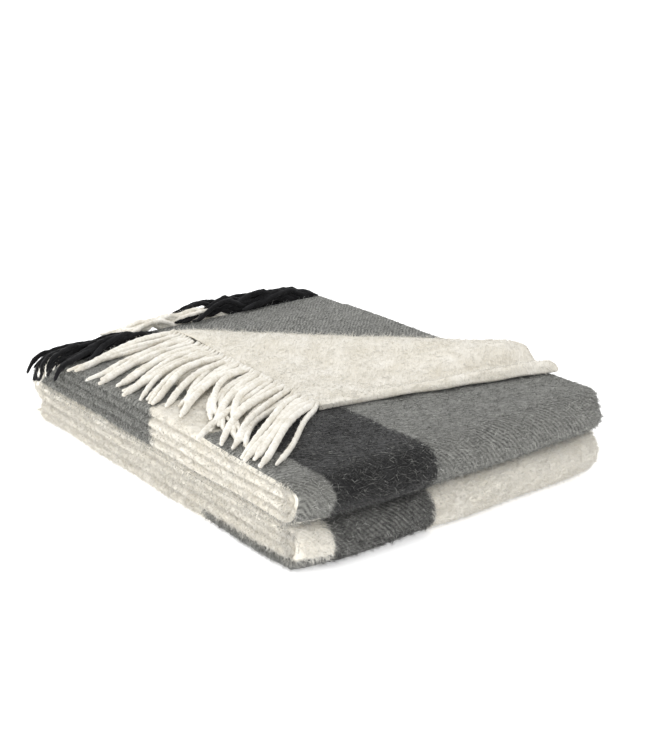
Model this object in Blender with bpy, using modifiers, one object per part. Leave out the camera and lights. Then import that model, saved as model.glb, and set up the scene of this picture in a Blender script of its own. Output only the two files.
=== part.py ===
"""Camp blanket: a checked wool throw with a twisted fringe, folded into a flat pile.

The cloth is folded across its width into a strip four plies thick, and the strip is folded in a
concertina of four layers. One corner of the top ply is turned back over a slanting fold.
X runs along the front edge of the pile, Y from the front to the back, and Z up. The origin is the
middle of the underside. Every length is in metres.
"""

from math import cos, pi, radians, sin

import bmesh
import bpy
from mathutils import Vector

# Driving dimensions
PILE_WIDTH = 0.330
PILE_DEPTH = 0.430
PLY = 0.00445
PLIES_IN_LAYER = 4
LAYER = PLY * PLIES_IN_LAYER
CLEARANCE = 0.0003
TOP_HEM_SETBACK = 0.072
INNER_HEM_SETBACK = 0.032
BOTTOM_HEM_SETBACK = 0.056
EDGE_ROUND = 0.0028
INNER_EDGE_ROUND = 0.0025
ARC_STEPS = 6

LEFT = -PILE_WIDTH / 2
RIGHT = PILE_WIDTH / 2
FRONT = -PILE_DEPTH / 2
BACK = PILE_DEPTH / 2
TOP_HEM = BACK - TOP_HEM_SETBACK
INNER_HEM = BACK - INNER_HEM_SETBACK
BOTTOM_HEM = BACK - BOTTOM_HEM_SETBACK
TOP = 4 * LAYER

# The turned corner, in plan: the fold runs from FOLD_FAR to FOLD_RIGHT
FOLD_FAR = Vector((LEFT + 0.120, TOP_HEM, 0))
FOLD_RIGHT = Vector((RIGHT - 0.004, FRONT + 0.126, 0))
ROLL_MOUTH = Vector((RIGHT - 0.003, FRONT + 0.062, 0))
CORNER = Vector((LEFT + 0.108, FRONT + 0.117, 0))
NOSE_FAR = 0.0040
NOSE_RIGHT = 0.0110
LOFT_FAR = 0.0030
LOFT_RIGHT = 0.0130
ROLL_REACH = 0.060

# The fringe
TASSEL_RADIUS = 0.0020
CORNER_TASSEL_LENGTH = 0.122
HEM_TASSEL_LENGTH = 0.104
CORNER_TASSEL_POINTS = 12
HEM_TASSEL_POINTS = 10
HANG_RATE = 9000
STEEPEST_HANG = 84
LOWEST_STRAND = 0.006
CORNER_TASSELS = 22
HEM_TASSELS = 31
CORNER_HEADING_FAR = 182
CORNER_HEADING_SPREAD = 42
CORNER_HEADING_POWER = 1.6
HEM_HEADING = 152
HEM_HEADING_WAVER = 1.2
CREAM_HEM_START = LEFT + 0.120
CREAM_HEM_END = LEFT + 0.210

# Colours, as linear red, green and blue
CREAM = (0.76, 0.72, 0.64)
GREY = (0.21, 0.21, 0.20)
CHARCOAL = (0.045, 0.045, 0.048)


def clear_scene():
    for old in list(bpy.data.objects):
        bpy.data.objects.remove(old, do_unlink=True)


def new_collection(name):
    collection = bpy.data.collections.new(name)
    bpy.context.scene.collection.children.link(collection)
    return collection


def wool(name, colour):
    material = bpy.data.materials.new(name)
    material.use_nodes = True
    shader = material.node_tree.nodes["Principled BSDF"]
    shader.inputs["Base Color"].default_value = (*colour, 1)
    shader.inputs["Roughness"].default_value = 0.95
    shader.inputs["Metallic"].default_value = 0
    shader.inputs["Sheen Weight"].default_value = 0.4
    return material


def add_object(name, data, collection, colour):
    thing = bpy.data.objects.new(name, data)
    collection.objects.link(thing)
    thing.data.materials.append(wool(name + "_wool", colour))
    return thing


def arc(centre, radius, start, end):
    """Points of a round from one angle to another, in degrees, as (y, z)."""
    angles = [radians(start + (end - start) * step / ARC_STEPS) for step in range(ARC_STEPS + 1)]
    return [(centre[0] + radius * cos(a), centre[1] + radius * sin(a)) for a in angles]


def slab(name, outline, collection, colour, low_x=LEFT, high_x=RIGHT, rounding=EDGE_ROUND):
    """A layer of cloth: its outline in Y and Z, drawn out along X, with soft ends."""
    mesh = bmesh.new()
    face = mesh.faces.new([mesh.verts.new((low_x, y, z)) for y, z in outline])
    drawn = bmesh.ops.extrude_face_region(mesh, geom=[face])["geom"]
    moved = [item for item in drawn if isinstance(item, bmesh.types.BMVert)]
    bmesh.ops.translate(mesh, verts=moved, vec=(high_x - low_x, 0, 0))
    bmesh.ops.recalc_face_normals(mesh, faces=mesh.faces)
    rims = [
        edge
        for edge in mesh.edges
        if abs(edge.verts[0].co.x - edge.verts[1].co.x) < CLEARANCE
    ]
    bmesh.ops.bevel(mesh, geom=rims, offset=rounding, segments=2, profile=0.5, affect="EDGES")
    data = bpy.data.meshes.new(name)
    mesh.to_mesh(data)
    mesh.free()
    return add_object(name, data, collection, colour)


def layers(collection):
    """The four layers of the concertina, each with the rounded halves of its own end folds."""
    half = CLEARANCE / 2
    lobe = LAYER - half
    front = FRONT + LAYER
    back = BACK - LAYER
    bottom = [(BOTTOM_HEM, 0), (BOTTOM_HEM, lobe)] + arc((front, LAYER - half), lobe, 180, 270)
    lower = arc((front, LAYER + half), lobe - half, 90, 180)
    lower += arc((back, 2 * LAYER - half), lobe - half, -90, 0)
    upper = arc((back, 2 * LAYER + half), lobe - half, 0, 90)
    upper += arc((front, 3 * LAYER - half), lobe - half, 180, 270)
    inner = lobe - PLY - CLEARANCE
    top = arc((front, 3 * LAYER + half), inner, 90, 180)
    top += [(INNER_HEM, 3 * LAYER + half), (INNER_HEM, 3 * LAYER + half + inner)]
    slab("bottom_layer", bottom, collection, CREAM)
    slab("lower_middle_layer", lower, collection, GREY)
    slab("upper_middle_layer", upper, collection, CHARCOAL)
    slab("top_layer", top, collection, GREY, rounding=INNER_EDGE_ROUND)


def top_ply(collection, cutters):
    """The uppermost ply, with its own share of the front fold and the turned corner cut away."""
    half = CLEARANCE / 2
    front = (FRONT + LAYER, 3 * LAYER + half)
    outer = LAYER - half
    inner = outer - PLY + CLEARANCE
    outline = arc(front, outer, 90, 180) + arc(front, inner, 180, 90)
    outline += [(TOP_HEM, front[1] + inner), (TOP_HEM, front[1] + outer)]
    ply = slab("top_ply", outline, collection, GREY, rounding=PLY / 4)

    away = (FOLD_RIGHT - FOLD_FAR).cross(Vector((0, 0, 1))).normalized()
    if (CORNER - FOLD_FAR).dot(away) > 0:
        away = -away
    past_the_ply = FOLD_RIGHT - FOLD_FAR
    start = FOLD_FAR + away * CLEARANCE - past_the_ply
    end = FOLD_RIGHT + away * CLEARANCE + past_the_ply
    cutter = bmesh.new()
    plan = [start, end, end + away * PILE_DEPTH, start + away * PILE_DEPTH]
    face = cutter.faces.new([cutter.verts.new((p.x, p.y, TOP - 2 * PLY)) for p in plan])
    drawn = bmesh.ops.extrude_face_region(cutter, geom=[face])["geom"]
    moved = [item for item in drawn if isinstance(item, bmesh.types.BMVert)]
    bmesh.ops.translate(cutter, verts=moved, vec=(0, 0, 4 * PLY))
    bmesh.ops.recalc_face_normals(cutter, faces=cutter.faces)
    data = bpy.data.meshes.new("corner_cutter")
    cutter.to_mesh(data)
    cutter.free()
    tool = bpy.data.objects.new("corner_cutter", data)
    tool.hide_render = True
    tool.display_type = "WIRE"
    cutters.objects.link(tool)
    cut = ply.modifiers.new("corner", "BOOLEAN")
    cut.object = tool
    return ply


def mix(low, high, share):
    return low + (high - low) * share


def turned_corner(collection):
    """The turned-back corner, lofty at its fold and lying down towards its point.

    A row runs parallel to the fold at each distance from it, and the rows close on the corner.
    """
    along = (FOLD_RIGHT - FOLD_FAR).normalized()
    across = Vector((along.y, -along.x, 0))
    if (CORNER - FOLD_FAR).dot(across) < 0:
        across = -across
    reach = (CORNER - FOLD_FAR).dot(across)
    mouth = (ROLL_MOUTH - FOLD_FAR).dot(across)
    mesh = bmesh.new()
    rows = []
    row_count = 14
    column_count = 12
    for row in range(row_count):
        distance = reach * (row / row_count) ** 1.6
        left = mix(FOLD_FAR, CORNER, distance / reach)
        if distance < mouth:
            right = mix(FOLD_RIGHT, ROLL_MOUTH, distance / mouth)
        else:
            right = mix(ROLL_MOUTH, CORNER, (distance - mouth) / (reach - mouth))
        points = []
        for column in range(column_count + 1):
            place = mix(left, right, column / column_count)
            share = (place - FOLD_FAR).dot(along) / (FOLD_RIGHT - FOLD_FAR).length
            points.append(mesh.verts.new((place.x, place.y, corner_height(distance, share))))
        rows.append(points)
    for near, far in zip(rows, rows[1:]):
        for column in range(column_count):
            mesh.faces.new((near[column], near[column + 1], far[column + 1], far[column]))
    tip = mesh.verts.new((CORNER.x, CORNER.y, corner_height(reach, 0)))
    for column in range(column_count):
        mesh.faces.new((rows[-1][column], rows[-1][column + 1], tip))
    bmesh.ops.recalc_face_normals(mesh, faces=mesh.faces)
    data = bpy.data.meshes.new("turned_corner")
    mesh.to_mesh(data)
    mesh.free()
    flap = add_object("turned_corner", data, collection, CREAM)
    thick = flap.modifiers.new("cloth", "SOLIDIFY")
    thick.thickness = PLY - CLEARANCE
    thick.offset = 0
    return flap


def corner_height(distance, share):
    """Height of the turned cloth's middle: the nose of the fold, then the loft, then lying flat."""
    share = min(max(share, 0), 1)
    nose = mix(NOSE_FAR, NOSE_RIGHT, share)
    loft = mix(LOFT_FAR, LOFT_RIGHT, share)
    flat = PLY / 2 + CLEARANCE
    away = min(distance / (2 * ROLL_REACH), 1)
    lying = mix(nose, flat, away * away * (3 - 2 * away))
    swell = loft * sin(pi * min(distance / (2 * ROLL_REACH), 1) ** 0.5) ** 2
    return TOP + lying + swell


def tassel(name, route, collection, colour):
    """One twisted strand of fringe: a round tube along its route, with closed ends."""
    data = bpy.data.curves.new(name, "CURVE")
    data.dimensions = "3D"
    data.bevel_depth = TASSEL_RADIUS
    data.bevel_resolution = 2
    data.use_fill_caps = True
    spline = data.splines.new("POLY")
    spline.points.add(len(route) - 1)
    for point, place in zip(spline.points, route):
        point.co = (*place, 1)
    return add_object(name, data, collection, colour)


def strand_route(root, length, points, heading, bend):
    """A strand leaves its root at a heading in degrees, bends evenly, and hangs past the left edge."""
    step = length / (points - 1)
    route = [root.copy()]
    for number in range(1, points):
        last = route[-1]
        angle = radians(heading + bend * number / points)
        past_edge = max(LEFT - EDGE_ROUND - last.x, 0)
        pitch = radians(min(past_edge * HANG_RATE, STEEPEST_HANG))
        drop = min(step * sin(pitch), last.z - LOWEST_STRAND)
        level = (step**2 - drop**2) ** 0.5
        route.append(last + Vector((level * cos(angle), level * sin(angle), -drop)))
    return route


def corner_fringe(collection):
    """Strands along the turned corner's hem, fanning out towards the front at its point."""
    edge = CORNER - FOLD_FAR
    outward = Vector((edge.y, -edge.x, 0)).normalized()
    if outward.x > 0:
        outward = -outward
    for number in range(CORNER_TASSELS):
        share = (number + 0.5) / CORNER_TASSELS
        root = mix(FOLD_FAR, CORNER, share) + outward * TASSEL_RADIUS
        root.z = TOP + TASSEL_RADIUS + CLEARANCE
        heading = CORNER_HEADING_FAR + CORNER_HEADING_SPREAD * share**CORNER_HEADING_POWER
        bend = 14 * sin(5 * share) + 8
        route = strand_route(root, CORNER_TASSEL_LENGTH, CORNER_TASSEL_POINTS, heading, bend)
        tassel(f"corner_tassel_{number + 1:02d}", route, collection, CREAM)


def hem_fringe(collection):
    """Strands along the hem that faces back, combed to the left within the depth of the pile."""
    for number in range(HEM_TASSELS):
        share = (number + 0.5) / HEM_TASSELS
        x = mix(LEFT, RIGHT, share)
        on_top_ply = x < FOLD_FAR.x
        hem = TOP_HEM if on_top_ply else INNER_HEM
        base = TOP - PLY / 2 if on_top_ply else TOP - PLY - PLY / 2
        root = Vector((x, hem + TASSEL_RADIUS + CLEARANCE, base))
        heading = HEM_HEADING + HEM_HEADING_WAVER * sin(9 * share)
        route = strand_route(root, HEM_TASSEL_LENGTH, HEM_TASSEL_POINTS, heading, 0)
        colour = CREAM if CREAM_HEM_START < x < CREAM_HEM_END else CHARCOAL
        tassel(f"hem_tassel_{number + 1:02d}", route, collection, colour)


clear_scene()
blanket = new_collection("camp_blanket")
cutting_tools = new_collection("cutting_tools")
layers(blanket)
top_ply(blanket, cutting_tools)
turned_corner(blanket)
corner_fringe(blanket)
hem_fringe(blanket)
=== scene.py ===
"""A folded camp blanket of brushed wool: four cloth layers, a turned-back corner, and twisted fringe.

The cloth is worked out flat, as distance x across it from the top ply's free selvedge and distance y
along it from the top hem, and is then carried round its folds. Lengths are in metres.
"""

import json

import bmesh
import bpy
import numpy as np
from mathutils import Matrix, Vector


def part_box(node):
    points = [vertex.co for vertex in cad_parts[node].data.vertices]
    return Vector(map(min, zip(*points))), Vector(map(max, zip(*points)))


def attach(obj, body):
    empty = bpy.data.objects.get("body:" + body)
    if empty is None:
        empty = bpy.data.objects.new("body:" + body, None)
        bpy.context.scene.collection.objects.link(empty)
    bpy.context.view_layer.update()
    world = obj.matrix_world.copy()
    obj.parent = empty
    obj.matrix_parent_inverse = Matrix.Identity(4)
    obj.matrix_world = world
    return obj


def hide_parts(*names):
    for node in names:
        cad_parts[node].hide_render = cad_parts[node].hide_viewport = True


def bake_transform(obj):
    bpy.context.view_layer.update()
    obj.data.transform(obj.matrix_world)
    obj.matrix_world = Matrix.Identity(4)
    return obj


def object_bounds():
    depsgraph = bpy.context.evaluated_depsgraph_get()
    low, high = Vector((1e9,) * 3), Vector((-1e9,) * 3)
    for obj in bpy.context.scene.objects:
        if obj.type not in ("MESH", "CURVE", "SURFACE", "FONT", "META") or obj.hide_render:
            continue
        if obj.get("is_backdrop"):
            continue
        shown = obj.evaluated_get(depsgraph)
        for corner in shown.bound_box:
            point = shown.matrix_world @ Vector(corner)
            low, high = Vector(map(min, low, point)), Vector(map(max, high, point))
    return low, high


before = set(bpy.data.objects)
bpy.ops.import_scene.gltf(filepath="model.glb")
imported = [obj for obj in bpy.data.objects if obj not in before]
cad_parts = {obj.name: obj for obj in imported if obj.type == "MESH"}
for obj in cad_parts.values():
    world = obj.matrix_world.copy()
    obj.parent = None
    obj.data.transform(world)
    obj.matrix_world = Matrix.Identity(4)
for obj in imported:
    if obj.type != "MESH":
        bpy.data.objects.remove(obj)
cad_low, cad_high = (list(corner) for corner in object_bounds())

MM = 0.001  # one millimetre

# The pile, from the frame
pile_low, pile_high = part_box("lower_middle_layer")
LEFT, FRONT = pile_low[0], pile_low[1]
RIGHT, BACK = pile_high[0], pile_high[1]
WIDTH = RIGHT - LEFT
DEPTH = BACK - FRONT
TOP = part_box("top_ply")[1][2]
LAYER = TOP / 4
PLY = LAYER / 4
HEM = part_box("top_ply")[1][1]
INNER_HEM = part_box("top_layer")[1][1]
BOTTOM_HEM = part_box("bottom_layer")[1][1]

# The cloth
CLOTH = 4.25 * MM
PLY_TURN = PLY / 2
PLY_FLAT = WIDTH - 2 * (PLY_TURN + CLOTH / 2) - 1.2 * MM
PLY_TURN_LENGTH = np.pi * PLY_TURN
CLOTH_WIDTH = 4 * PLY_FLAT + 3 * PLY_TURN_LENGTH
LAYER_TURN = LAYER / 2
LAYER_TURN_LENGTH = np.pi * LAYER_TURN
LAYER_FLAT = DEPTH - 2 * LAYER
TOP_FLAT = HEM - FRONT - LAYER
BOTTOM_FLAT = BOTTOM_HEM - FRONT - LAYER
INNER_REACH = INNER_HEM - HEM
LOBE_1 = TOP_FLAT
LOBE_2 = LOBE_1 + 2 * LAYER_TURN_LENGTH + 2 * LAYER_FLAT
CLOTH_LENGTH = LOBE_2 + LAYER_TURN_LENGTH + BOTTOM_FLAT

# Where the turned corner's fold, mouth and point lie, in plan
FOLD_FAR = np.array([LEFT + 0.120, HEM])
FOLD_RIGHT = np.array([RIGHT - 0.004, FRONT + 0.126])
ROLL_MOUTH = np.array([RIGHT - 0.003, FRONT + 0.062])
CORNER = np.array([LEFT + 0.108, FRONT + 0.117])

# Where the check changes on the folded pile, in metres along the cloth
FIRST_WEFT_END = 0.158
NEXT_WEFT_START = 0.228
CREAM_WEFT = 0.19


def linear(code):
    """An sRGB hex colour as linear red, green, blue and alpha."""
    values = [int(code[i : i + 2], 16) / 255 for i in (1, 3, 5)]
    return [v / 12.92 if v <= 0.04045 else ((v + 0.055) / 1.055) ** 2.4 for v in values] + [1]


def smooth(value):
    """Smoothstep of a value from 0 to 1."""
    value = np.clip(value, 0, 1)
    return value * value * (3 - 2 * value)


def mix(low, high, share):
    """The value a share of the way from low to high."""
    return low + (high - low) * share


def ripple(u, v, size, seed, waves=7):
    """Soft irregular relief from -1 to 1: a sum of sine waves in seeded directions near one size."""
    rng = np.random.default_rng(seed)
    total = np.zeros(np.broadcast(u, v).shape)
    for _ in range(waves):
        angle = rng.uniform(0, 2 * np.pi)
        length = size * rng.uniform(0.7, 1.6)
        phase = rng.uniform(0, 2 * np.pi)
        total += np.sin((u * np.cos(angle) + v * np.sin(angle)) * 2 * np.pi / length + phase)
    return total / waves**0.5


# ---------------------------------------------------------------- materials


def node(tree, kind, settings=None, links=None):
    """Adds one shader node with its settings, and links its inputs to other nodes' outputs."""
    made = tree.nodes.new("ShaderNode" + kind)
    for key, value in (settings or {}).items():
        if isinstance(key, str) and hasattr(made, key):
            setattr(made, key, value)
        else:
            made.inputs[key].default_value = value
    for key, source in (links or {}).items():
        tree.links.new(source, made.inputs[key])
    return made


def maths(tree, operation, first, second=None, b=None):
    """The result of one Math node on two sockets, or on a socket and the constant b."""
    settings = {"operation": operation} | ({} if b is None else {1: b})
    links = {0: first} if second is None else {0: first, 1: second}
    return node(tree, "Math", settings, links).outputs[0]


def ranged(tree, value, low, high):
    """A socket's value as a share, from 0 at low to 1 at high."""
    return node(tree, "MapRange", {1: low, 2: high}, {0: value}).outputs[0]


def noise(tree, place, scale, detail):
    """Soft noise at a place."""
    settings = {"Scale": scale, "Detail": detail}
    return node(tree, "TexNoise", settings, {"Vector": place}).outputs[0]


def wool_material(name, sheen):
    """The dull, slightly downy material that each wool starts from, with its nodes and its shader."""
    material = bpy.data.materials.new(name)
    material.use_nodes = True
    shader = material.node_tree.nodes["Principled BSDF"]
    shader.inputs["Roughness"].default_value = 0.92
    shader.inputs["Specular IOR Level"].default_value = 0.18
    shader.inputs["Sheen Weight"].default_value = sheen
    shader.inputs["Sheen Roughness"].default_value = 0.5
    shader.inputs["Sheen Tint"].default_value = (1, 1, 1, 1)
    return material, material.node_tree, shader


# Colours of the cloth and its nap, darker then lighter in each pair of the nap
CREAM = "#E9E5DC"
CREAM_SHADE = "#DAD4C6"
CHARCOAL = "#121213"
CHARCOAL_LIGHT = "#3B3B3A"
GREY_YARN_LIGHT = "#A3A39D"
GREY_YARN_DARK = "#3C3C3A"
WARP_GREY_LIGHT = "#9C9C97"
WARP_GREY_DARK = "#373736"
NAP_CREAM = ("#E4DFD4", "#F6F4EE")
NAP_GREY = ("#2E2E2D", "#E2E2DC")
NAP_WARP_GREY = ("#2E2E2D", "#E0E0DA")
NAP_CHARCOAL = ("#0A0A0B", "#B4B4AF")

# The dark bands of the check, in metres across the cloth and along it
WARP_BANDS = ((0.199, 0.298), (0.780, 0.880), (1.100, 1.200))
WEFT_BANDS = (
    (-0.300, FIRST_WEFT_END),
    (NEXT_WEFT_START, LOBE_1 + 0.052),
    (LOBE_2 + 0.044, LOBE_2 + 0.128),
)
TWILL_PITCH = 0.0044
CLOTH_BAND_BLUR = 0.0012
NAP_BAND_BLUR = 0.0010


def in_bands(tree, coordinate, bands, blur):
    """1 inside any band of a coordinate and 0 outside, with an edge as soft as the brushed nap."""
    total = None
    for low, high in bands:
        rise = ranged(tree, coordinate, low - blur, low + blur)
        fall = ranged(tree, coordinate, high + blur, high - blur)
        both = maths(tree, "MULTIPLY", rise, fall)
        total = both if total is None else maths(tree, "MAXIMUM", total, both)
    return total


def colour_mix(tree, factor, low, high):
    """A colour between two, each a hex code or a socket."""
    made = node(tree, "Mix", {"data_type": "RGBA"}, {0: factor})
    for socket, value in ((6, low), (7, high)):
        if isinstance(value, str):
            made.inputs[socket].default_value = linear(value)
        else:
            tree.links.new(value, made.inputs[socket])
    return made.outputs[2]


def brushed_wool_check(name, sheen=0.25):
    """Brushed wool twill in a check: cream and charcoal bands both ways, grey where they cross.

    The twill's diagonal shows most in the grey, where the two yarns lie side by side, and the nap laid
    over it breaks it up.
    """
    material, tree, shader = wool_material(name, sheen)
    check = node(tree, "UVMap", {"uv_map": "check"}).outputs[0]
    flat = node(tree, "UVMap", {"uv_map": "flat"}).outputs[0]
    settings = {"Scale": 260.0, "Detail": 3.0, "noise_dimensions": "2D"}
    wander = node(tree, "TexNoise", settings, {"Vector": flat})
    offset = node(tree, "VectorMath", {"operation": "SCALE", 3: 0.0050}, {0: wander.outputs["Color"]})
    shifted = node(tree, "VectorMath", {"operation": "ADD"}, {0: check, 1: offset.outputs[0]})
    parts = node(tree, "SeparateXYZ", {}, {0: shifted.outputs[0]})
    warp = in_bands(tree, parts.outputs[0], WARP_BANDS, CLOTH_BAND_BLUR)
    weft = in_bands(tree, parts.outputs[1], WEFT_BANDS, CLOTH_BAND_BLUR)

    # The diagonal of the twill
    plan = node(tree, "SeparateXYZ", {}, {0: flat})
    slant = maths(tree, "ADD", plan.outputs[0], plan.outputs[1])
    jitter = noise(tree, flat, 70.0, 2.0)
    settings = {"operation": "MULTIPLY_ADD", 1: 0.007}
    bent = node(tree, "Math", settings, {0: jitter, 2: slant}).outputs[0]
    wave = maths(tree, "SINE", maths(tree, "MULTIPLY", bent, b=2 * np.pi / TWILL_PITCH))
    line = ranged(tree, wave, -0.8, 0.8)

    # The nap: fine hairs at several slants, drawn by stretched noise
    slants = []
    for angle, along, across in ((0.6, 160, 900), (-0.5, 140, 1000), (1.4, 180, 800)):
        settings = {"Rotation": (0, 0, angle), "Scale": (along, across, 1)}
        turned = node(tree, "Mapping", settings, {"Vector": flat}).outputs[0]
        settings = {"Scale": 1.0, "Detail": 3.0, "Distortion": 0.6}
        slants.append(node(tree, "TexNoise", settings, {"Vector": turned}).outputs[0])
    nap = slants[0]
    for slanted in slants[1:]:
        nap = maths(tree, "MAXIMUM", nap, slanted)
    nap = ranged(tree, nap, 0.48, 0.80)
    patchy = ranged(tree, noise(tree, flat, 38.0, 3.0), 0.35, 0.68)

    # Grey: light and dark yarn by the twill line, hidden in patches by the nap
    cover = maths(tree, "MULTIPLY", patchy, b=0.8)
    softer = node(tree, "Mix", {"data_type": "FLOAT", 3: 0.5}, {0: cover, 2: line}).outputs[0]
    mixed = node(tree, "Mix", {"data_type": "FLOAT", 0: 0.42}, {2: softer, 3: nap}).outputs[0]
    grey = colour_mix(tree, mixed, GREY_YARN_DARK, GREY_YARN_LIGHT)
    charcoal = colour_mix(tree, maths(tree, "MULTIPLY", nap, patchy), CHARCOAL, CHARCOAL_LIGHT)
    pale = node(tree, "Mix", {"data_type": "FLOAT", 0: 0.86}, {2: line, 3: patchy}).outputs[0]
    cream = colour_mix(tree, pale, CREAM_SHADE, CREAM)

    crossing = maths(tree, "MULTIPLY", warp, weft)
    lighter = colour_mix(tree, maths(tree, "MAXIMUM", warp, weft), cream, grey)
    warp_grey = colour_mix(tree, mixed, WARP_GREY_DARK, WARP_GREY_LIGHT)
    lighter = colour_mix(tree, maths(tree, "SUBTRACT", warp, crossing), lighter, warp_grey)
    whole = colour_mix(tree, crossing, lighter, charcoal)
    tree.links.new(whole, shader.inputs["Base Color"])

    relief = node(tree, "Math", {"operation": "MULTIPLY_ADD", 1: 0.6}, {0: line, 2: nap}).outputs[0]
    bump = node(tree, "Bump", {"Strength": 0.35, "Distance": 0.0010}, {"Height": relief})
    tree.links.new(bump.outputs[0], shader.inputs["Normal"])
    return material


def wool_nap(name, sheen=0.15):
    """The hairs of the nap: the check's colours, each hair a little lighter or darker than the next.

    A hair has one place in each map. On hairs the map called flat holds two random numbers, and the
    noise read from them gives the hair its one shade.
    """
    material, tree, shader = wool_material(name, sheen)
    check = node(tree, "UVMap", {"uv_map": "check"}).outputs[0]
    flat = node(tree, "UVMap", {"uv_map": "flat"}).outputs[0]
    parts = node(tree, "SeparateXYZ", {}, {0: check})
    warp = in_bands(tree, parts.outputs[0], WARP_BANDS, NAP_BAND_BLUR)
    weft = in_bands(tree, parts.outputs[1], WEFT_BANDS, NAP_BAND_BLUR)
    own = node(tree, "TexWhiteNoise", {"noise_dimensions": "2D"}, {"Vector": flat}).outputs[0]
    tuft = noise(tree, flat, 150.0, 2.0)
    tufted = node(tree, "MapRange", {1: 0.36, 2: 0.66, 3: 0.35, 4: 1.25}, {0: tuft}).outputs[0]
    settings = {"operation": "MULTIPLY", "use_clamp": True}
    shade = node(tree, "Math", settings, {0: own, 1: tufted}).outputs[0]
    strong = maths(tree, "POWER", shade, b=3.0)
    cream = colour_mix(tree, own, *NAP_CREAM)
    grey = colour_mix(tree, shade, *NAP_GREY)
    warp_grey = colour_mix(tree, strong, *NAP_WARP_GREY)
    charcoal = colour_mix(tree, strong, *NAP_CHARCOAL)
    with_warp = colour_mix(tree, weft, warp_grey, charcoal)
    without = colour_mix(tree, weft, cream, grey)
    tree.links.new(colour_mix(tree, warp, without, with_warp), shader.inputs["Base Color"])
    return material


def wool_yarn(name, dark, light, sheen=0.3):
    """Spun wool: one colour with soft light and dark streaks along and across the yarn."""
    material, tree, shader = wool_material(name, sheen)
    place = node(tree, "TexCoord").outputs["Object"]
    streak = noise(tree, place, 420.0, 3.0)
    level = ranged(tree, maths(tree, "ADD", streak, noise(tree, place, 60.0, 2.0)), 0.75, 1.2)
    tree.links.new(colour_mix(tree, level, dark, light), shader.inputs["Base Color"])
    bump = node(tree, "Bump", {"Strength": 0.4, "Distance": 0.0006}, {"Height": streak})
    tree.links.new(bump.outputs[0], shader.inputs["Normal"])
    return material


# ---------------------------------------------------------------- shapes


def mesh_piece(name, points, faces, materials, smooth_shaded=True):
    """An object at the origin from arrays of points and faces."""
    mesh = bpy.data.meshes.new(name)
    mesh.vertices.add(len(points))
    mesh.vertices.foreach_set("co", np.ascontiguousarray(points, np.float32).ravel())
    sizes = faces.shape[1]
    mesh.loops.add(faces.size)
    mesh.loops.foreach_set("vertex_index", faces.ravel().astype(np.int32))
    mesh.polygons.add(len(faces))
    mesh.polygons.foreach_set("loop_start", np.arange(0, faces.size, sizes, dtype=np.int32))
    mesh.polygons.foreach_set("loop_total", np.full(len(faces), sizes, np.int32))
    mesh.update(calc_edges=True)
    mesh.validate()
    if smooth_shaded:
        mesh.shade_smooth()
    piece = bpy.data.objects.new(name, mesh)
    bpy.context.scene.collection.objects.link(piece)
    for material in materials if isinstance(materials, (list, tuple)) else [materials]:
        mesh.materials.append(material)
    return piece


def add_map(piece, name, values):
    """A UV map with one value for each point of the mesh."""
    mesh = piece.data
    corners = np.empty(len(mesh.loops), np.int32)
    mesh.loops.foreach_get("vertex_index", corners)
    layer = mesh.uv_layers.new(name=name)
    layer.data.foreach_set("uv", np.ascontiguousarray(values[corners], np.float32).ravel())


def grid_faces(rows, columns, start=0, turned=False):
    """Quads of a grid whose points run along its columns, row after row."""
    row, column = np.meshgrid(np.arange(rows - 1), np.arange(columns - 1), indexing="ij")
    first = start + (row * columns + column).ravel()
    faces = np.stack([first, first + 1, first + columns + 1, first + columns], axis=1)
    return faces[:, ::-1] if turned else faces


def closed_sheet(middle, normal, thickness):
    """Points and faces of a sheet with both faces and its rim, from its middle surface on a grid."""
    rows, columns = middle.shape[:2]
    half = (thickness / 2)[..., None] * normal
    points = np.concatenate([(middle + half).reshape(-1, 3), (middle - half).reshape(-1, 3)])
    count = rows * columns
    rim = np.concatenate(
        [
            np.arange(columns),
            np.arange(2, rows + 1) * columns - 1,
            (rows - 1) * columns + np.arange(columns - 2, -1, -1),
            np.arange(rows - 2, 0, -1) * columns,
        ]
    )
    following = np.roll(rim, -1)
    wall = np.stack([rim, rim + count, following + count, following], axis=1)
    faces = np.concatenate(
        [grid_faces(rows, columns), grid_faces(rows, columns, count, turned=True), wall]
    )
    return points, faces


def surface_normal(middle):
    """Unit normals of a grid of points, from its two directions."""
    along_rows = np.gradient(middle, axis=0)
    along_columns = np.gradient(middle, axis=1)
    normal = np.cross(along_columns, along_rows)
    return normal / np.maximum(np.linalg.norm(normal, axis=-1, keepdims=True), 1e-12)


def cleaned(piece, clean):
    """Runs a function of bmesh on a piece's mesh."""
    shape = bmesh.new()
    shape.from_mesh(piece.data)
    clean(shape)
    shape.to_mesh(piece.data)
    shape.free()


def merge(piece):
    """Welds points that coincide, such as a row that closes on one point."""
    cleaned(piece, lambda shape: bmesh.ops.remove_doubles(shape, verts=shape.verts, dist=1e-6))
    piece.data.shade_smooth()


def face_outwards(piece):
    """Turns every face of a closed piece outwards."""
    cleaned(piece, lambda shape: bmesh.ops.recalc_face_normals(shape, faces=shape.faces))


# ---------------------------------------------------------------- the folded cloth


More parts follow.
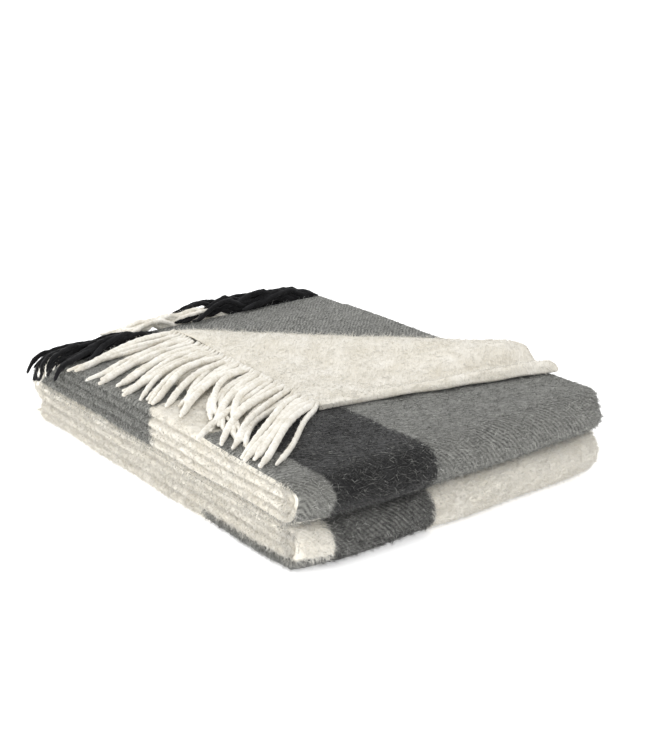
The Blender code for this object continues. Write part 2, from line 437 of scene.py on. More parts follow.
def zigzag(distance, lengths, turn_length, radius, first_height, start, spread):
    """A path that runs to and fro between round turns, each one lower than the last.

    distance is measured along it and lengths are its straight runs. spread is how far a point lies off
    the path, towards its upper side where the run goes left. Returns the place across, the height and
    the direction of travel, in radians.
    """
    place = np.zeros_like(distance)
    height = np.zeros_like(distance)
    angle = np.zeros_like(distance)
    at = 0.0
    left_end, right_end = start
    for number, length in enumerate(lengths):
        goes_left = number % 2 == 0
        level = first_height - 2 * radius * number
        last = number == len(lengths) - 1
        on_run = ((distance >= at) | (number == 0)) & ((distance <= at + length) | last)
        step = distance - at
        origin = (left_end + length) if goes_left else (right_end - length)
        place = np.where(on_run, origin - step if goes_left else origin + step, place)
        height = np.where(on_run, level, height)
        angle = np.where(on_run, np.pi if goes_left else 2 * np.pi, angle)
        at += length
        if last:
            break
        on_turn = (distance > at) & (distance < at + turn_length)
        sweep = (distance - at) / turn_length * np.pi
        if goes_left:
            centre, heading, outward = left_end, np.pi + sweep, np.pi / 2 + sweep
        else:
            centre, heading, outward = right_end, 2 * np.pi - sweep, np.pi / 2 - sweep
        place = np.where(on_turn, centre + radius * np.cos(outward), place)
        height = np.where(on_turn, level - radius + radius * np.sin(outward), height)
        angle = np.where(on_turn, heading, angle)
        at += turn_length
    normal_x = np.cos(angle - np.pi / 2)
    normal_z = np.sin(angle - np.pi / 2)
    return place + spread * normal_x, height + spread * normal_z, normal_x, normal_z


def across_cloth(x):
    """Where distance x across the cloth lies in the folded strip: place, height and its normal."""
    edge = PLY_TURN + CLOTH / 2 + 0.6 * MM
    ends = (LEFT + edge, RIGHT - edge)
    run = ends[1] - ends[0]
    return zigzag(x, [run] * 4, PLY_TURN_LENGTH, PLY_TURN, 1.5 * PLY, ends, 0.0)


def along_cloth(y, spread):
    """Where distance y along the strip lies in the concertina, for a point off the strip's middle."""
    ends = (FRONT + LAYER, BACK - LAYER)
    runs = [TOP_FLAT, LAYER_FLAT, LAYER_FLAT, BOTTOM_FLAT]
    return zigzag(y, runs, LAYER_TURN_LENGTH, LAYER_TURN, 3.5 * LAYER, ends, spread)


def spaced(knots, steps):
    """Distances that run through the knots with a number of even steps between each two."""
    pieces = [np.linspace(a, b, n, endpoint=False) for a, b, n in zip(knots, knots[1:], steps)]
    return np.concatenate(pieces + [[knots[-1]]])


def fold_line_y(x):
    """How far along the cloth the turned corner's fold lies at a distance x across the top ply."""
    place = across_cloth(x)[0]
    share = np.clip((place - FOLD_FAR[0]) / (FOLD_RIGHT[0] - FOLD_FAR[0]), 0, 1.02)
    on_top_ply = x < PLY_FLAT
    line = HEM - mix(FOLD_FAR[1], FOLD_RIGHT[1], share)
    inner = smooth((x - PLY_FLAT - PLY_TURN_LENGTH / 2) / 0.02)
    return np.where(on_top_ply, np.maximum(line, 0), -INNER_REACH * inner)


def loosen(points, layer_share):
    """Lets a point of the pile stray from the flat plan, as soft cloth does.

    The front lobes round off towards their ends, the long edges bow and waver a little, and each layer
    sits slightly askew of the next. Heights stay as they are.
    """
    across = (points[..., 0] - LEFT) / WIDTH * 2 - 1
    along = (points[..., 1] - FRONT) / DEPTH
    height = points[..., 2]
    near_front = smooth(1 - along / 0.16)
    near_back = smooth((along - 0.88) / 0.12)
    end = np.abs(across) ** 7
    moved = points.copy()
    front_waver = 1.2 * MM * ripple(points[..., 0], height * 3, 0.09, 3)
    moved[..., 1] += near_front * (9 * MM * end + front_waver)
    moved[..., 1] -= near_back * (7 * MM * end)
    waver = ripple(points[..., 1], height * 9, 0.13, 11)
    side = np.abs(across) ** 4 * np.sign(across)
    pinch = smooth((0.055 - along) / 0.055) + 0.6 * smooth((along - 0.93) / 0.07)
    moved[..., 0] -= side * MM * (1.3 + 1.1 * waver + 4.0 * pinch)
    return moved


def check_of_folded(x, y, true_y, across, along):
    """Where in the check, across and along the cloth, a place of the folded pile is read.

    The top ply and the outside of the front lobes read it true. The edges of the plies beneath show grey
    towards the back of the upper two layers and cream elsewhere, and the ply under the turned corner is
    grey wherever it shows. Left of the turned corner the top ply is cream, but for a grey far corner.
    """
    weft = true_y + 0.012 * smooth((0.044 - across) / 0.010) * (y > LOBE_1)
    inner = x > PLY_FLAT + 0.30 * PLY_TURN_LENGTH
    upper = y < LOBE_1 + 1.5 * LAYER_TURN_LENGTH + LAYER_FLAT
    turn_back = mix(0.205, -0.3, smooth((across - 0.03) / 0.05) * (x < 2 * PLY_FLAT) * (y < LOBE_1))
    edges = np.clip(FIRST_WEFT_END + turn_back - along, 0.05, 0.206)
    bottom_outside = (y > LOBE_2 + LAYER_TURN_LENGTH / 2) & (x < PLY_FLAT + 2 * PLY_TURN_LENGTH)
    low = np.where(bottom_outside, weft, CREAM_WEFT)
    weft = np.where(inner, np.where(upper, edges, low), weft)
    left_of_fold = (x < PLY_FLAT + 0.30 * PLY_TURN_LENGTH) & (y < 0.226)
    grey_corner = np.minimum(0.050 - across, along - 0.205)
    weft = np.where(left_of_fold, FIRST_WEFT_END - np.clip(grey_corner, -0.06, 0.06), weft)
    return np.where(left_of_fold & (x > 0.15), 0.31, x), weft


def cloth_stretch(name, y_knots, y_steps, material, corner_cut=False):
    """One stretch of the folded cloth, between two distances along it, as a closed sheet."""
    edge = 6 * MM
    turn = PLY_TURN_LENGTH
    run = (CLOTH_WIDTH - 3 * turn) / 4
    x_knots = [0.0, edge]
    x_steps = [4]
    at = 0.0
    for ply in range(4):
        at += run
        x_knots += [at - edge]
        x_steps += [52 if ply == 0 else 22]
        if ply < 3:
            x_knots += [at, at + turn, at + turn + edge]
            x_steps += [4, 8, 4]
            at += turn
    x_knots += [at]
    x_steps += [4]
    x = spaced(x_knots, x_steps)
    y = spaced(y_knots, y_steps)
    grid_x, grid_y = np.meshgrid(x, y)
    if corner_cut:
        begin = fold_line_y(grid_x)
        end = LOBE_1 - 0.012
        squeezed = begin + (grid_y / end) * (end - begin)
        grid_y = np.where(grid_y < end, squeezed, grid_y)
    place, strip_height, normal_u, normal_h = across_cloth(grid_x)
    centre_y, centre_z, normal_y, normal_z = along_cloth(grid_y, strip_height)
    middle = np.stack([place, centre_y, centre_z], axis=-1)
    normal = np.stack([normal_u, normal_h * normal_y, normal_h * normal_z], axis=-1)

    free_edge = np.minimum(grid_x, CLOTH_WIDTH - grid_x)
    thickness = CLOTH * (0.45 + 0.55 * smooth(free_edge / (4 * MM)))
    hem_edge = np.minimum(grid_y, CLOTH_LENGTH - grid_y) / (4 * MM) + 0.001
    thickness *= 0.45 + 0.55 * smooth(hem_edge)
    if corner_cut:
        on_top = (grid_x < PLY_FLAT) & (grid_y < LOBE_1)
        lip = smooth(1 - (grid_y - fold_line_y(grid_x)) / 0.016) * (fold_line_y(grid_x) > 0.001)
        share = np.clip((place - FOLD_FAR[0]) / (FOLD_RIGHT[0] - FOLD_FAR[0]), 0, 1)
        middle[..., 2] += on_top * lip * mix(1.2, 7.5, share) * MM
        soft = ripple(place, centre_y, 0.07, 5) + 0.6 * ripple(place, centre_y, 0.03, 6)
        inside = smooth((place - LEFT) / 0.03) * smooth((RIGHT - place) / 0.03)
        fading = smooth((LOBE_1 + 0.010 - grid_y) / 0.03)
        middle[..., 2] += on_top * inside * fading * 0.5 * MM * soft
    middle = loosen(middle, grid_y)
    points, faces = closed_sheet(middle, normal, thickness)
    piece = mesh_piece(name, points, faces, material)
    face_outwards(piece)

    swept = np.clip((grid_y - LOBE_1) / LAYER_TURN_LENGTH, 0, 1)
    swept -= np.clip((grid_y - LOBE_1 - LAYER_TURN_LENGTH - LAYER_FLAT) / LAYER_TURN_LENGTH, 0, 1)
    swept += np.clip((grid_y - LOBE_2) / LAYER_TURN_LENGTH, 0, 1)
    true_y = grid_y + strip_height * np.pi * swept
    warp, weft = check_of_folded(grid_x, grid_y, true_y, place - LEFT, centre_y - FRONT)
    both = np.stack([grid_x, true_y], axis=-1).reshape(-1, 2)
    check = np.stack([warp, weft], axis=-1).reshape(-1, 2)
    add_map(piece, "flat", np.concatenate([both, both]))
    add_map(piece, "check", np.concatenate([check, check]))
    half = normal * (thickness / 2)[..., None]
    check = check.reshape(*grid_x.shape, 2)
    return piece, (middle + half, normal, check), (middle - half, -normal, check)


# ---------------------------------------------------------------- the turned corner


def corner_surface(rows, columns):
    """The turned cloth's middle surface: rows run from the fold to the corner's point.

    Its height is the nose of the fold, a loft behind it, and then a lie-down towards the point. Along
    the near edge a soft lip stands behind a valley, both growing towards the mouth of the roll.
    """
    along = (FOLD_RIGHT - FOLD_FAR) / np.linalg.norm(FOLD_RIGHT - FOLD_FAR)
    inward = np.array([along[1], -along[0]])
    inward = inward if (CORNER - FOLD_FAR) @ inward > 0 else -inward
    reach = (CORNER - FOLD_FAR) @ inward
    mouth = (ROLL_MOUTH - FOLD_FAR) @ inward
    distance = (reach * np.linspace(0, 1, rows) ** 1.25)[:, None]
    left = FOLD_FAR + (CORNER - FOLD_FAR) * (distance / reach)
    to_mouth = FOLD_RIGHT + (ROLL_MOUTH - FOLD_RIGHT) * (distance / mouth)
    past_mouth = ROLL_MOUTH + (CORNER - ROLL_MOUTH) * ((distance - mouth) / (reach - mouth))
    right = np.where(distance < mouth, to_mouth, past_mouth)
    share = np.linspace(0, 1, columns) ** 0.9
    plan = left[:, None, :] + (right - left)[:, None, :] * share[None, :, None]
    length = np.linalg.norm(FOLD_RIGHT - FOLD_FAR)
    run = np.clip(((plan - FOLD_FAR) @ along) / length, 0, 1)
    off = distance + 0 * run

    nose = mix(4.0, 9.5, run) * MM
    loft = mix(3.0, 9.0, run**1.3) * MM
    flat = PLY / 2 + 0.3 * MM
    settle = smooth(off / 0.12)
    height = mix(nose, flat, settle)
    height += loft * np.sin(np.pi * np.clip(off / 0.12, 0, 1) ** 0.5) ** 2

    near = CORNER - ROLL_MOUTH
    near = near / np.linalg.norm(near)
    edge_off = np.abs((plan - ROLL_MOUTH) @ np.array([near[1], -near[0]]))
    puff = mix(0.35, 1.0, smooth((plan[..., 0] - CORNER[0]) / (RIGHT - CORNER[0])))
    lying = smooth(edge_off / mix(0.012, 0.040, puff))
    height = flat + (height - flat) * lying
    lip = np.exp(-(((edge_off - 0.007) / 0.0055) ** 2))
    valley = np.exp(-(((edge_off - 0.022 * puff - 0.004) / (0.005 + 0.005 * puff)) ** 2))
    height += 5.0 * MM * puff * lip
    height -= np.minimum(11.0 * MM * puff**2, 0.85 * np.maximum(height - flat, 0)) * valley
    height += 0.45 * MM * ripple(plan[..., 0], plan[..., 1], 0.06, 21)
    height = np.maximum(height, flat)
    middle = np.concatenate([plan, (TOP + height)[..., None]], axis=-1)
    return middle, CLOTH * (1 + 0.75 * puff * lip)


CORNER_GRID = (70, 90)


def turned_corner(material):
    """The turned-back corner of the top ply as a closed sheet, with its outer skin."""
    rows, columns = CORNER_GRID
    middle, body = corner_surface(rows, columns)
    normal = surface_normal(middle)
    normal = np.where(normal[..., 2:] < 0, -normal, normal)
    normal[-1] = (0, 0, 1)
    from_side = np.minimum(np.arange(columns), np.arange(columns)[::-1])
    edge = np.minimum.outer(np.minimum(np.arange(rows) * 9, 99), from_side)
    thickness = body * (0.45 + 0.55 * smooth(edge / 3.0))
    points, faces = closed_sheet(middle, normal, thickness)
    piece = mesh_piece("corner_cloth", points, faces, material)
    merge(piece)
    face_outwards(piece)
    count = len(piece.data.vertices)
    places = np.empty(count * 3)
    piece.data.vertices.foreach_get("co", places)
    places = places.reshape(-1, 3)[:, :2]
    add_map(piece, "flat", places @ np.array([[0.0, 1.0], [-1.0, 0.0]]))
    cream_place = np.array([0.08, CREAM_WEFT])
    add_map(piece, "check", np.tile(cream_place, (count, 1)))
    check = np.tile(cream_place, (rows, columns, 1))
    return piece, (middle + normal * (thickness / 2)[..., None], normal, check)


# ---------------------------------------------------------------- nap


def exposed(points, normals):
    """How much nap the points of a skin get: none inside the pile, and most on its folded edges."""
    x, y, z = points[:, 0], points[:, 1], points[:, 2]
    top = (z > TOP - 1.6 * PLY) & (normals[:, 2] > 0.6) & ((z > TOP - 0.6 * PLY) | past_the_fold(x, y))
    side = (np.abs(x) > WIDTH / 2 - 5 * MM) & (np.abs(normals[:, 0]) > 0.25)
    round_end = 9 * MM * np.abs(2 * x / WIDTH) ** 7

    def on_lobe(inward, level):
        far = np.hypot(inward - LAYER, z - level) > LAYER - 2 * MM - round_end
        return (inward < LAYER + 9 * MM) & far & (np.abs(z - level) < LAYER)

    lobes = (on_lobe(y - FRONT, LAYER) | on_lobe(y - FRONT, 3 * LAYER)) & (normals[:, 1] < 0.1)
    behind = on_lobe(BACK - y, 2 * LAYER) & (normals[:, 1] > 0.1)
    near_corner = side & (y < FRONT + 0.030)
    return (top | side | lobes | behind) * (1.0 + 1.2 * side + 0.5 * lobes + 2.0 * near_corner)


def past_the_fold(x, y):
    """True on the far side of the turned corner's fold, where the second ply shows."""
    line = FOLD_RIGHT - FOLD_FAR
    return (x - FOLD_FAR[0]) * line[1] - (y - FOLD_FAR[1]) * line[0] < 0


def second_ply_exposed(points, normals):
    """Which points of the second ply's upper face the turned corner leaves bare."""
    bare = past_the_fold(points[:, 0], points[:, 1])
    return bare & (points[:, 2] > TOP - 1.7 * PLY) & (normals[:, 2] > 0.6)


def hairs(name, points, normals, maps, seed, length, width, lift, materials, lean=0.0, joints=1):
    """Hairs that stand off a skin at its points, each a closed three-sided spike with bends.

    length, width and lift are (low, high) ranges in metres, metres and degrees. lean is how much of each
    hair's direction is shared, as combed nap has. joints is how many straight runs a hair has.
    """
    rng = np.random.default_rng(seed)
    count = len(points)
    helper = np.where(np.abs(normals[:, 2:]) > 0.9, (1.0, 0.0, 0.0), (0.0, 0.0, 1.0))
    side = np.cross(normals, helper)
    side /= np.linalg.norm(side, axis=1, keepdims=True)
    other = np.cross(normals, side)
    turn = rng.uniform(0, 2 * np.pi, count) * (1 - lean) + lean * 2.4
    tangent = side * np.cos(turn)[:, None] + other * np.sin(turn)[:, None]
    raised = np.radians(rng.uniform(*lift, count))[:, None]
    long = rng.uniform(*length, count)[:, None]
    wide = rng.uniform(*width, count)[:, None]
    stations = [points - normals * 0.4 * MM]
    heading = raised
    for joint in range(joints):
        step = tangent * np.cos(heading) + normals * np.sin(heading)
        stations.append(stations[-1] + step * long / joints)
        heading = heading + np.radians(rng.uniform(-55, 20, count))[:, None]
        sideways = rng.uniform(-0.7, 0.7, count)[:, None]
        tangent = tangent * np.cos(sideways) + np.cross(normals, tangent) * np.sin(sideways)
    rings = []
    across = np.cross(stations[1] - stations[0], normals)
    across /= np.maximum(np.linalg.norm(across, axis=1, keepdims=True), 1e-9)
    upward = np.cross(across, stations[1] - stations[0])
    upward /= np.maximum(np.linalg.norm(upward, axis=1, keepdims=True), 1e-9)
    for number in range(joints):
        share = 1 - 0.55 * number / joints
        for angle in (0, 2.094, 4.189):
            out = across * np.cos(angle) + upward * np.sin(angle)
            rings.append(stations[number] + out * wide * share)
    rings.append(stations[-1])
    mesh_points = np.stack(rings, axis=1)
    mesh_points[..., 2] = np.maximum(mesh_points[..., 2], 0.2 * MM)
    size = mesh_points.shape[1]
    faces = [(0, 2, 1)]
    for number in range(joints - 1):
        a = 3 * number
        for k in range(3):
            m = (k + 1) % 3
            faces += [(a + k, a + m, a + 3 + m), (a + k, a + 3 + m, a + 3 + k)]
    a = 3 * (joints - 1)
    faces += [(a + k, a + (k + 1) % 3, size - 1) for k in range(3)]
    faces = (np.arange(count)[:, None, None] * size + np.array(faces)[None]).reshape(-1, 3)
    piece = mesh_piece(name, mesh_points.reshape(-1, 3), faces, materials, smooth_shaded=False)
    for map_name, values in maps.items():
        add_map(piece, map_name, np.repeat(values, size, axis=0))
    return piece


def sample_skin(skin, count, seed, keep=None):
    """Random points on a grid of surface points, even by area, with their normals and check places."""
    points, normals, check = skin
    rng = np.random.default_rng(seed)
    corner = points[:-1, :-1]
    area = np.linalg.norm(
        np.cross(points[1:, :-1] - corner, points[:-1, 1:] - corner), axis=-1
    )
    middle = (corner + points[1:, 1:]) / 2
    outward = normals[:-1, :-1]
    if keep is not None:
        area = area * keep(middle.reshape(-1, 3), outward.reshape(-1, 3)).reshape(area.shape)
    chance = area.ravel() / area.sum()
    cell = rng.choice(len(chance), count, p=chance)
    row, column = np.divmod(cell, area.shape[1])
    a, b = rng.random(count)[:, None], rng.random(count)[:, None]

    def at(grid):
        low = grid[row, column] * (1 - b) + grid[row, column + 1] * b
        high = grid[row + 1, column] * (1 - b) + grid[row + 1, column + 1] * b
        return low * (1 - a) + high * a

    normal = at(normals)
    return at(points), normal / np.linalg.norm(normal, axis=1, keepdims=True), at(check)


def nap_on(name, skin, short_count, long_count, seed, material, keep=exposed, level=-1.0):
    """Short nap and stray hairs on one stretch of cloth.

    Returns the pieces whose hairs grow below a level and those above it, so that no hair is shared
    between two layers that open apart.
    """
    below, above = [], []
    for kind, count, length, width, lift, joints in (
        ("nap", short_count, (2.6, 7.0), (0.17, 0.32), (5, 30), 1),
        ("stray_hairs", long_count, (4.0, 9.0), (0.09, 0.16), (25, 70), 3),
    ):
        points, normals, check = sample_skin(skin, count, seed, keep)
        rng = np.random.default_rng(seed + 1)
        spread = check + rng.normal(0, 0.0016, check.shape)
        shade = rng.uniform(0, 1, check.shape)
        high = points[:, 2] > level
        for part, chosen, found in (("below", ~high, below), ("above", high, above)):
            if not chosen.any():
                continue
            maps = {"check": spread[chosen], "flat": shade[chosen]}
            full_name = f"{name}_{kind}_{part}"
            sizes = (np.array(length) * MM, np.array(width) * MM, lift)
            grown = (points[chosen], normals[chosen], maps, seed + 2)
            found.append(hairs(full_name, *grown, *sizes, material, lean=0.55, joints=joints))
        seed += 7
    return below, above


# ---------------------------------------------------------------- fringe


def ground(x, y):
    """Height of what a strand rests on at a place in plan."""
    if y < HEM:
        return TOP
    return TOP - PLY - 3.0 * MM * smooth((y - INNER_HEM) / 0.02)


def lay_strand(root, heading, bend, length, radius, rng, rise=0.0, steps=26, low=4.5 * MM):
    """The path of one strand from its root: level where it rests, and hanging past the left edge.

    heading and bend are in degrees; the bend comes mostly near the tip. rise is how far it rides up over
    the strands under it.
    """
    step = length / steps
    path = [np.array(root, float)]
    phase, rate = rng.uniform(0, 6.3), rng.uniform(3, 7)
    for number in range(1, steps + 1):
        share = number / steps
        last = path[-1]
        angle = np.radians(heading + bend * share**2.2 + 5 * np.sin(phase + rate * share))
        past_edge = max(LEFT - 1.0 * MM - last[0], 0)
        pitch = np.radians(min(past_edge * 3000, 82))
        if past_edge > 0:
            fall = min(step * np.sin(pitch), max(last[2] - low, 0))
            level = (step**2 - fall**2) ** 0.5 * (0.35 if last[2] - low < step else 1)
            height = last[2] - fall
        else:
            level = step
            over = rise * np.sin(np.pi * min(share * 1.15, 1)) ** 0.7
            unevenness = 0.4 * MM * np.sin(phase + 9 * share)
            wanted = ground(last[0], last[1]) + radius + over + unevenness
            height = np.clip(wanted, last[2] - 0.42 * step, last[2] + 0.5 * step)
        x, y = last[0] + level * np.cos(angle), last[1] + level * np.sin(angle)
        path.append(np.array([x, y, height]))
    return np.array(path)


def twisted_strands(name, paths, radii, materials, sides=8, pitch=0.011):
    """Strands of two yarns twisted together: tubes whose two-lobed section turns along the path."""
    points, faces, normals = [], [], []
    start = 0
    for number, (path, radius) in enumerate(zip(paths, radii)):
        rows = len(path)
        along = np.gradient(path, axis=0)
        along /= np.linalg.norm(along, axis=1, keepdims=True)
        side = np.cross(along, (0.0, 0.0, 1.0)) + (1e-6, 0, 0)
        side /= np.linalg.norm(side, axis=1, keepdims=True)
        up = np.cross(side, along)
        travelled = np.concatenate([[0], np.cumsum(np.linalg.norm(np.diff(path, axis=0), axis=1))])
        angle = 2 * np.pi * np.arange(sides) / sides
        lobes = 1 + 0.11 * np.cos(2 * (angle[None] - np.pi * travelled[:, None] / pitch - number))
        share = np.linspace(0, 1, rows)
        taper = 0.55 + 0.45 * smooth((1 - share) / 0.12)
        taper *= 0.75 + 0.25 * smooth(share / 0.08)
        reach = (radius * taper)[:, None] * lobes
        cosine, sine = np.cos(angle)[None, :, None], np.sin(angle)[None, :, None]
        out = side[:, None] * cosine + up[:, None] * sine
        ring = path[:, None] + out * reach[..., None]
        root, tip = path[:1] - along[:1] * radius * 0.4, path[-1:] + along[-1:] * radius * 0.9
        points += [ring.reshape(-1, 3), root, tip]
        normals += [out.reshape(-1, 3), -along[:1], along[-1:]]
        row, column = np.meshgrid(np.arange(rows - 1), np.arange(sides), indexing="ij")
        a = start + row * sides + column
        b = start + row * sides + (column + 1) % sides
        quads = np.stack([a, b, b + sides, a + sides], axis=-1).reshape(-1, 4)
        faces += [quads[:, [0, 2, 1]], quads[:, [0, 3, 2]]]
        ends = np.arange(sides)
        first, last = start + rows * sides, start + rows * sides + 1
        tail = start + (rows - 1) * sides
        following = (ends + 1) % sides
        faces.append(np.stack([np.full(sides, first), start + ends, start + following], axis=1))
        faces.append(np.stack([np.full(sides, last), tail + following, tail + ends], axis=1))
        start += rows * sides + 2
    points, normals = np.concatenate(points), np.concatenate(normals)
    piece = mesh_piece(name, points, np.concatenate(faces), materials)
    face_outwards(piece)
    return piece, points, normals


def fringe(name, paths, radii, material, seed, fuzz_per_strand, sides=8):
    """A row of twisted strands and the fuzz on them."""
    piece, points, normals = twisted_strands(name, paths, radii, material, sides)
    made = [piece]
    if fuzz_per_strand:
        rng = np.random.default_rng(seed)
        chosen = rng.choice(len(points), fuzz_per_strand * len(paths), replace=True)
        sizes = ((1.5 * MM, 5.0 * MM), (0.06 * MM, 0.13 * MM), (10, 60))
        grown = (points[chosen], normals[chosen], {}, seed)
        made.append(hairs(name + "_fuzz", *grown, *sizes, material, joints=2))
    return made


def corner_fringe_paths():
    """Strands along the turned corner's hem, combed to the left; the middle ones curl to the front."""
    rng = np.random.default_rng(40)
    paths, radii = [], []
    count = 46
    for number in range(count):
        share = (number + 0.5) / count
        root = mix(FOLD_FAR, CORNER, share) + rng.normal(0, 1.0, 2) * MM * 0.6
        radius = rng.uniform(2.2, 3.1) * MM
        heading = mix(196, 209, smooth(share / 0.75)) + rng.normal(0, 3.0)
        bend = 48 * np.exp(-(((share - 0.58) / 0.26) ** 2)) * rng.uniform(0.4, 1.3) + rng.normal(0, 6)
        length = 0.128 * rng.uniform(0.90, 1.06)
        if share > 0.93:
            heading, bend = mix(207, 216, (share - 0.93) / 0.05), 2.0
        height = TOP + PLY + rng.uniform(0.2, 1.2) * MM
        rise = rng.uniform(0.5, 6.0) * MM
        paths.append(lay_strand((*root, height), heading, bend, length, radius, rng, rise))
        radii.append(radius)
    return paths, radii


def hem_fringe_paths(low_x, high_x, hem, top, count, seed, heading, bend, length, rise, radius):
    """Strands along a hem that faces back, between two places across it, combed to the left."""
    rng = np.random.default_rng(seed)
    paths, radii = [], []
    for number in range(count):
        x = mix(low_x, high_x, (number + rng.uniform(0.2, 0.8)) / count)
        r = rng.uniform(*radius) * MM
        root = (x, hem + r * 0.6, top - PLY / 2 + rng.uniform(-0.5, 0.8) * MM)
        turn = heading + rng.normal(0, 7)
        up = rng.uniform(*rise) * MM
        reach = min(length, x - LEFT + 0.026) * rng.uniform(0.85, 1.08)
        paths.append(lay_strand(root, turn, bend + rng.normal(0, 9), reach, r, rng, up))
        radii.append(r)
    return paths, radii


def floor_fringe_paths(hem, level, count, seed, length):
    """Simple strands behind a lower hem, lying to the left on what is under them."""
    rng = np.random.default_rng(seed)
    paths, radii = [], []
    for number in range(count):
        x = mix(LEFT + 0.006, RIGHT - 0.006, (number + 0.5) / count)
        heading = np.radians(rng.uniform(148, 162))
        steps = np.linspace(0, 1, 7)[:, None] * length * rng.uniform(0.85, 1.0)
        way = np.array([[np.cos(heading), np.sin(heading), 0.0]])
        path = np.array([[x, hem + 1.5 * MM, level]]) + steps * way
        path[:, 0] = np.maximum(path[:, 0], LEFT + 0.004 + 0.004 * rng.random())
        path[:, 1] = np.minimum(path[:, 1], BACK - 2 * MM) + np.linspace(0, 0.003, 7)
        paths.append(path)
        radii.append(1.6 * MM)
    return paths, radii


# ---------------------------------------------------------------- making the blanket

wool = brushed_wool_check("brushed_wool_check")
nap_wool = wool_nap("wool_nap")
cream_yarn = wool_yarn("cream_wool_yarn", "#D8D2C4", "#F3F0E8")
charcoal_yarn = wool_yarn("charcoal_wool_yarn", "#08080A", "#1E1E20", sheen=0.08)

UPPER_SPLIT = LOBE_1 + LAYER_TURN_LENGTH + LAYER_FLAT - 0.030
LOWER_SPLIT = UPPER_SPLIT + LAYER_TURN_LENGTH + 0.060
AFTER_LOBE_1 = LOBE_1 + LAYER_TURN_LENGTH
AFTER_BACK = UPPER_SPLIT + 0.030 + LAYER_TURN_LENGTH
AFTER_LOBE_2 = LOBE_2 + LAYER_TURN_LENGTH

upper_cloth, upper_skin, upper_inside = cloth_stretch(
    "upper_cloth",
    [0.0, 0.006, LOBE_1 - 0.012, LOBE_1, AFTER_LOBE_1, AFTER_LOBE_1 + 0.012, UPPER_SPLIT],
    [4, 56, 4, 16, 4, 24],
    wool,
    corner_cut=True,
)
back_cloth, back_skin, _ = cloth_stretch(
    "back_cloth",
    [UPPER_SPLIT, UPPER_SPLIT + 0.030, AFTER_BACK, LOWER_SPLIT],
    [6, 16, 6],
    wool,
)
lower_cloth, lower_skin, _ = cloth_stretch(
    "lower_cloth",
    [
        LOWER_SPLIT,
        LOBE_2 - 0.012,
        LOBE_2,
        AFTER_LOBE_2,
        AFTER_LOBE_2 + 0.012,
        CLOTH_LENGTH - 0.006,
        CLOTH_LENGTH,
    ],
    [24, 4, 16, 4, 24, 4],
    wool,
)
corner_cloth, corner_skin = turned_corner(wool)

upper_nap = nap_on("upper", upper_skin, 48000, 11000, 100, nap_wool, level=3 * LAYER)
second_nap = nap_on("second_ply", upper_inside, 8000, 1500, 150, nap_wool, second_ply_exposed)[1]
back_nap = nap_on("back", back_skin, 9000, 1400, 200, nap_wool, level=2 * LAYER)
lower_nap = nap_on("lower", lower_skin, 36000, 7000, 300, nap_wool, level=LAYER)
corner_nap = nap_on("corner", corner_skin, 9000, 3000, 400, nap_wool, keep=None)[1]

white_corner_fringe = fringe("white_corner_fringe", *corner_fringe_paths(), cream_yarn, 50, 110)

# Each fringe on a hem that faces back: where it starts and ends across the pile from the left edge, its
# hem, what it lies on, how many strands, heading and bend in degrees, length, rise and radius in mm,
# yarn and seed
HEM_FRINGES = {
    "dark_top_fringe": (
        0.028, 0.121, HEM, TOP, 32,
        177, 14, 0.100, (1.0, 11.0), (1.9, 2.7), charcoal_yarn, 60,
    ),
    "white_edge_fringe": (
        0.003, 0.030, HEM, TOP - PLY, 11,
        183, 20, 0.070, (0.2, 3.0), (1.8, 2.6), cream_yarn, 62,
    ),
    "white_back_fringe": (
        0.132, 0.212, INNER_HEM, TOP - PLY, 24,
        170, 4, 0.060, (0.8, 7.0), (1.8, 2.6), cream_yarn, 64,
    ),
    "dark_back_fringe": (
        0.212, WIDTH - 0.004, INNER_HEM, TOP - PLY, 34,
        174, 8, 0.076, (1.5, 13.0), (2.0, 2.9), charcoal_yarn, 66,
    ),
}
FUZZ_PER_STRAND = 90


def hem_fringe(name):
    """One of the fringes on a hem that faces back, with its fuzz."""
    start, end, hem, top, count, heading, bend, length, rise, radius, yarn, seed = HEM_FRINGES[name]
    paths = hem_fringe_paths(
        LEFT + start, LEFT + end, hem, top, count, seed, heading, bend, length, rise, radius
    )
    return fringe(name, *paths, yarn, seed + 1, FUZZ_PER_STRAND)


dark_top_fringe = hem_fringe("dark_top_fringe")
white_edge_fringe = hem_fringe("white_edge_fringe")
white_back_fringe = hem_fringe("white_back_fringe")
dark_back_fringe = hem_fringe("dark_back_fringe")
bottom_paths = floor_fringe_paths(BOTTOM_HEM, 2.2 * MM, 30, 68, 0.10)
bottom_fringe = fringe("bottom_fringe", *bottom_paths, cream_yarn, 69, 0, sides=5)

# ---------------------------------------------------------------- light, floor and camera


def pale_floor():
    """A white floor that the shadow falls on."""
    floor_paper = bpy.data.materials.new("white_paper")
    floor_paper.use_nodes = True
    shader = floor_paper.node_tree.nodes["Principled BSDF"]
    shader.inputs["Base Color"].default_value = linear("#FFFFFF")
    shader.inputs["Roughness"].default_value = 0.9
    shader.inputs["Emission Color"].default_value = linear("#FFFFFF")
    shader.inputs["Emission Strength"].default_value = 0.45
    bpy.ops.mesh.primitive_plane_add(size=12, location=(0, 0, -0.0004))
    floor = bpy.context.object
    floor.name = "studio_floor"
    floor.data.materials.append(floor_paper)
    floor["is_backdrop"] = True


def soft_light(name, place, aim, size, power):
    """A round area light at a place, turned to what it lights."""
    lamp = bpy.data.lights.new(name, "AREA")
    lamp.shape = "DISK"
    lamp.size = size
    lamp.energy = power
    thing = bpy.data.objects.new(name, lamp)
    thing.location = place
    bpy.context.scene.collection.objects.link(thing)
    turn_to(thing, place, aim)


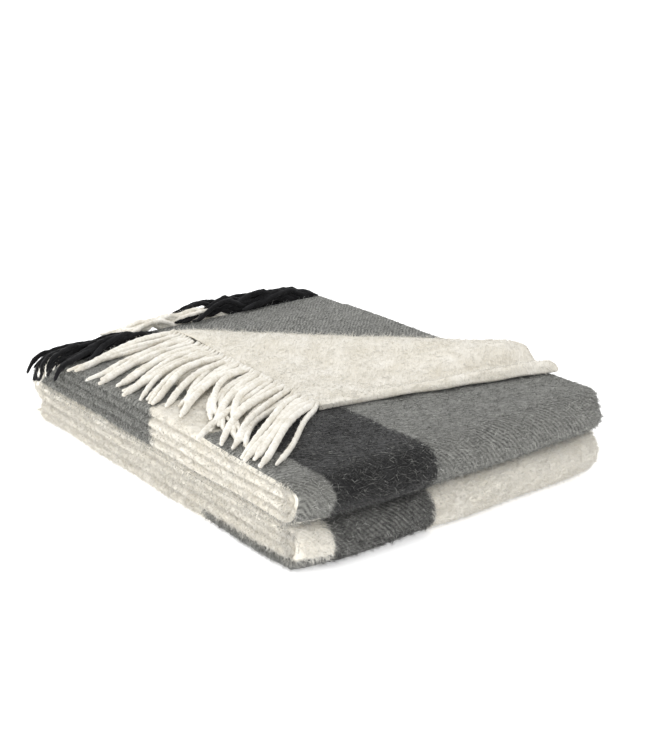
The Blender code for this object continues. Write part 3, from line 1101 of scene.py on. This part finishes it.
def turn_to(thing, place, aim):
    """Turns a light or a camera so that it looks from its place at its aim."""
    way = Vector(aim) - Vector(place)
    thing.rotation_euler = way.to_track_quat("-Z", "Y").to_euler()


def studio():
    """A white room with one light overhead and one from the left."""
    world = bpy.data.worlds.new("white_room")
    bpy.context.scene.world = world
    world.use_nodes = True
    world.node_tree.nodes["Background"].inputs[0].default_value = linear("#FFFFFF")
    world.node_tree.nodes["Background"].inputs[1].default_value = 1.02
    soft_light("overhead", (0.5, 0.2, 1.7), (0, 0, 0), 1.1, 5)
    soft_light("left_window", (-2.0, 0.0, 0.55), (0, 0, 0), 1.2, 16)
    bpy.context.scene.view_settings.view_transform = "Standard"


def photographers_camera():
    """The camera, low and to the left of the pile's front edge."""
    azimuth, elevation = np.radians(-37.22), np.radians(20.68)
    reach = 3.650 * WIDTH
    centre = np.array([0, 0, 0.0336])
    level = np.cos(elevation)
    back = np.array([np.sin(azimuth) * level, -np.cos(azimuth) * level, np.sin(elevation)])
    lens = bpy.data.cameras.new("camera")
    lens.sensor_width = 36
    lens.sensor_fit = "AUTO"
    lens.lens = 64.86
    lens.shift_x = 0.0288
    lens.shift_y = 0.0400
    camera = bpy.data.objects.new("camera", lens)
    camera.location = centre + back * reach
    bpy.context.scene.collection.objects.link(camera)
    turn_to(camera, camera.location, centre)
    bpy.context.scene.camera = camera


pale_floor()
studio()
photographers_camera()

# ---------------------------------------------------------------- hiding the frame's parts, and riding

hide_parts("top_layer", "top_ply", "upper_middle_layer")
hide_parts("lower_middle_layer")
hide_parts("bottom_layer")
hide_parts("turned_corner")
CORNER_TASSELS = [f"corner_tassel_{number:02d}" for number in range(1, 23)]
HEM_TASSELS = [f"hem_tassel_{number:02d}" for number in range(1, 32)]
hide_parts(*CORNER_TASSELS)
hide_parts(*HEM_TASSELS[:2])
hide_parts(*HEM_TASSELS[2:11])
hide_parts(*HEM_TASSELS[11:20])
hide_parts(*HEM_TASSELS[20:])


def across_hinge(pieces):
    """Bakes each piece's place into its mesh, leaving it at the origin."""
    for piece in pieces:
        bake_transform(piece)


across_hinge([upper_cloth])
across_hinge([back_cloth])
across_hinge([lower_cloth])
hem_pieces = white_edge_fringe + dark_top_fringe + white_back_fringe + dark_back_fringe
riders = {
    "turned_corner": [corner_cloth] + corner_nap + white_corner_fringe,
    "top_layer": upper_nap[1] + second_nap + hem_pieces,
    "upper_middle_layer": upper_nap[0] + back_nap[1],
    "lower_middle_layer": back_nap[0] + lower_nap[1],
    "bottom_layer": lower_nap[0] + bottom_fringe,
}
for body, pieces in riders.items():
    for piece in pieces:
        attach(piece, body)

low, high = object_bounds()
sizes = {"cad": [cad_low, cad_high], "visual": [list(low), list(high)]}
json.loads(json.dumps(sizes, default=float))
